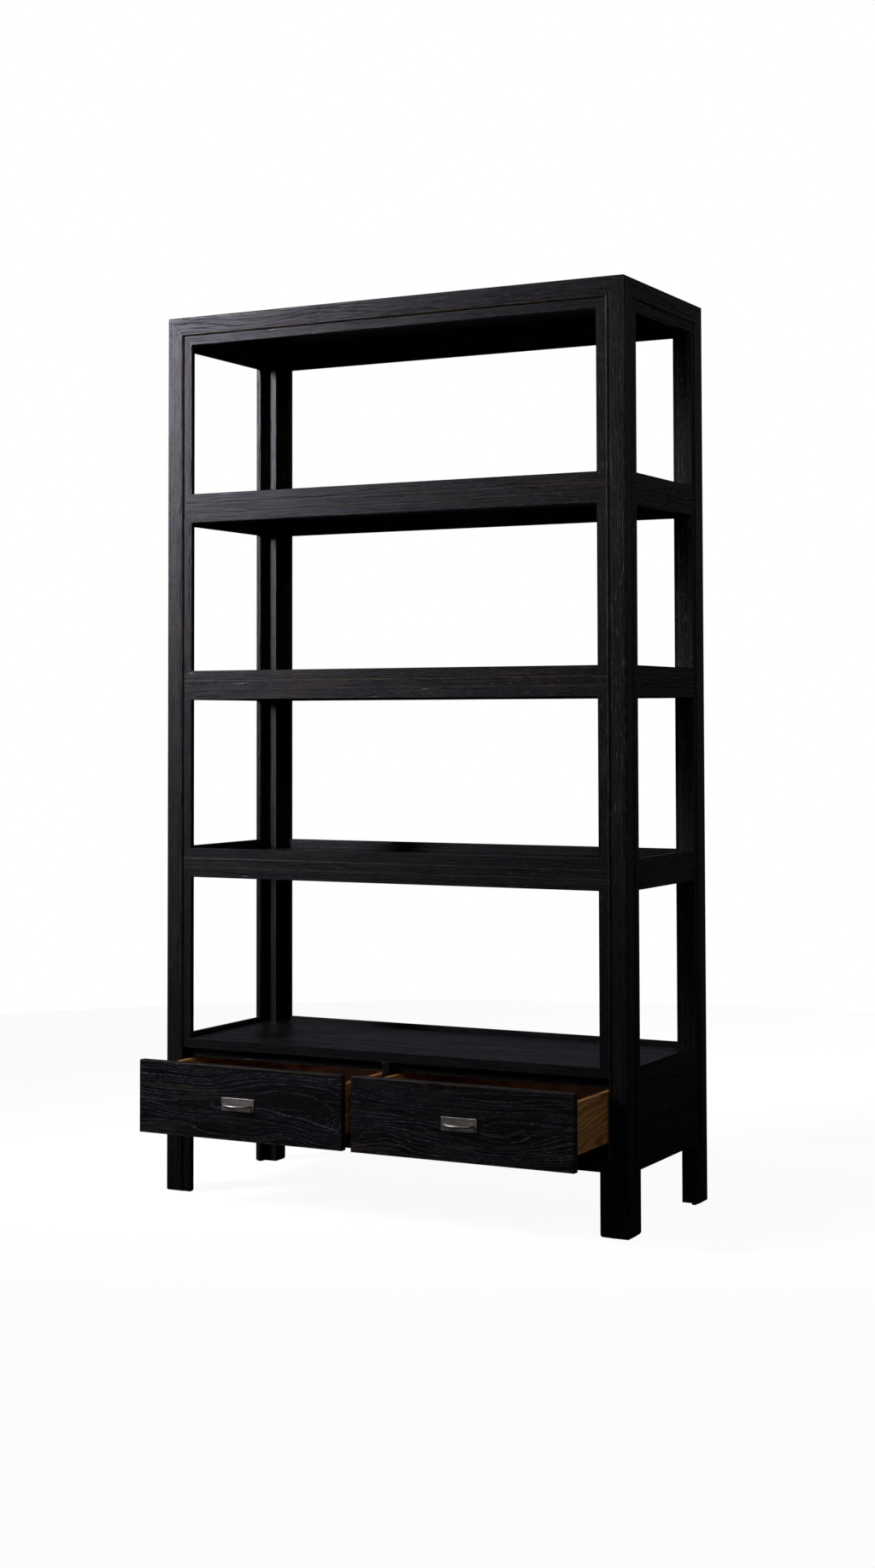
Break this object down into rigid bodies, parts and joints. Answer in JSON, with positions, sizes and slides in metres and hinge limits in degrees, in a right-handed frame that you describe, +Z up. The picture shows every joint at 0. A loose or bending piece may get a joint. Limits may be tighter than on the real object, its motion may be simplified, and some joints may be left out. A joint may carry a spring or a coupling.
{
  "type": "bookcase with bottom drawers",
  "caption": "Open bookcase in dark stained wood with beaded posts, framed shelves and drawers with bow handles in a low case on straight legs",
  "frame": {"origin": "on the floor, midway between the four legs", "axes": "+X to the right of someone who looks at the drawer fronts, +Y to the back, +Z up"},
  "size_m": [1.149, 0.6463, 2],
  "materials": {
    "dark_wood": "black-brown stain under satin lacquer, with open grain and edges rubbed to warm brown",
    "drawer_wood": "plain pale wood with a thin clear coat",
    "handle_metal": "satin, slightly warm grey, a little darker where it isn't touched"
  },
  "bodies": {
    "carcass": {"post_front_left": "dark_wood", "post_front_right": "dark_wood", "post_rear_left": "dark_wood", "post_rear_right": "dark_wood", "top_front_rail": "dark_wood", "top_rear_rail": "dark_wood", "top_left_rail": "dark_wood", "top_right_rail": "dark_wood", "top_panel": "dark_wood", "shelf_1_frame": "dark_wood", "shelf_1_board": "dark_wood", "shelf_2_frame": "dark_wood", "shelf_2_board": "dark_wood", "shelf_3_frame": "dark_wood", "shelf_3_board": "dark_wood", "bottom_shelf_frame": "dark_wood", "bottom_shelf_board": "dark_wood", "bay_1_front_trim": "dark_wood", "bay_1_rear_trim": "dark_wood", "bay_1_left_trim": "dark_wood", "bay_1_right_trim": "dark_wood", "bay_2_front_trim": "dark_wood", "bay_2_rear_trim": "dark_wood", "bay_2_left_trim": "dark_wood", "bay_2_right_trim": "dark_wood", "bay_3_front_trim": "dark_wood", "bay_3_rear_trim": "dark_wood", "bay_3_left_trim": "dark_wood", "bay_3_right_trim": "dark_wood", "bay_4_front_trim": "dark_wood", "bay_4_rear_trim": "dark_wood", "bay_4_left_trim": "dark_wood", "bay_4_right_trim": "dark_wood", "leg_front_trim": "dark_wood", "leg_left_trim": "dark_wood", "leg_right_trim": "dark_wood", "case_left_panel": "dark_wood", "case_right_panel": "dark_wood", "case_back_panel": "dark_wood", "case_divider": "dark_wood", "case_bottom_frame": "dark_wood", "case_floor": "dark_wood", "drawer_runners": "drawer_wood"},
    "left_drawer": {"left_drawer_front": "dark_wood", "left_drawer_left_side": "drawer_wood", "left_drawer_right_side": "drawer_wood", "left_drawer_back": "drawer_wood", "left_drawer_bottom": "drawer_wood", "left_drawer_handle_plate": "handle_metal", "left_drawer_handle_bow": "handle_metal", "left_drawer_handle_nuts": "handle_metal"},
    "right_drawer": {"right_drawer_front": "dark_wood", "right_drawer_left_side": "drawer_wood", "right_drawer_right_side": "drawer_wood", "right_drawer_back": "drawer_wood", "right_drawer_bottom": "drawer_wood", "right_drawer_handle_plate": "handle_metal", "right_drawer_handle_bow": "handle_metal", "right_drawer_handle_nuts": "handle_metal"}
  },
  "joints": [
    {"name": "left_drawer_slide", "type": "slide", "parent": "carcass", "child": "left_drawer", "axis": [0, -1, 0], "range_m": [-0.172, 0.098]},
    {"name": "right_drawer_slide", "type": "slide", "parent": "carcass", "child": "right_drawer", "axis": [0, -1, 0], "range_m": [-0.172, 0.098]}
  ]
}
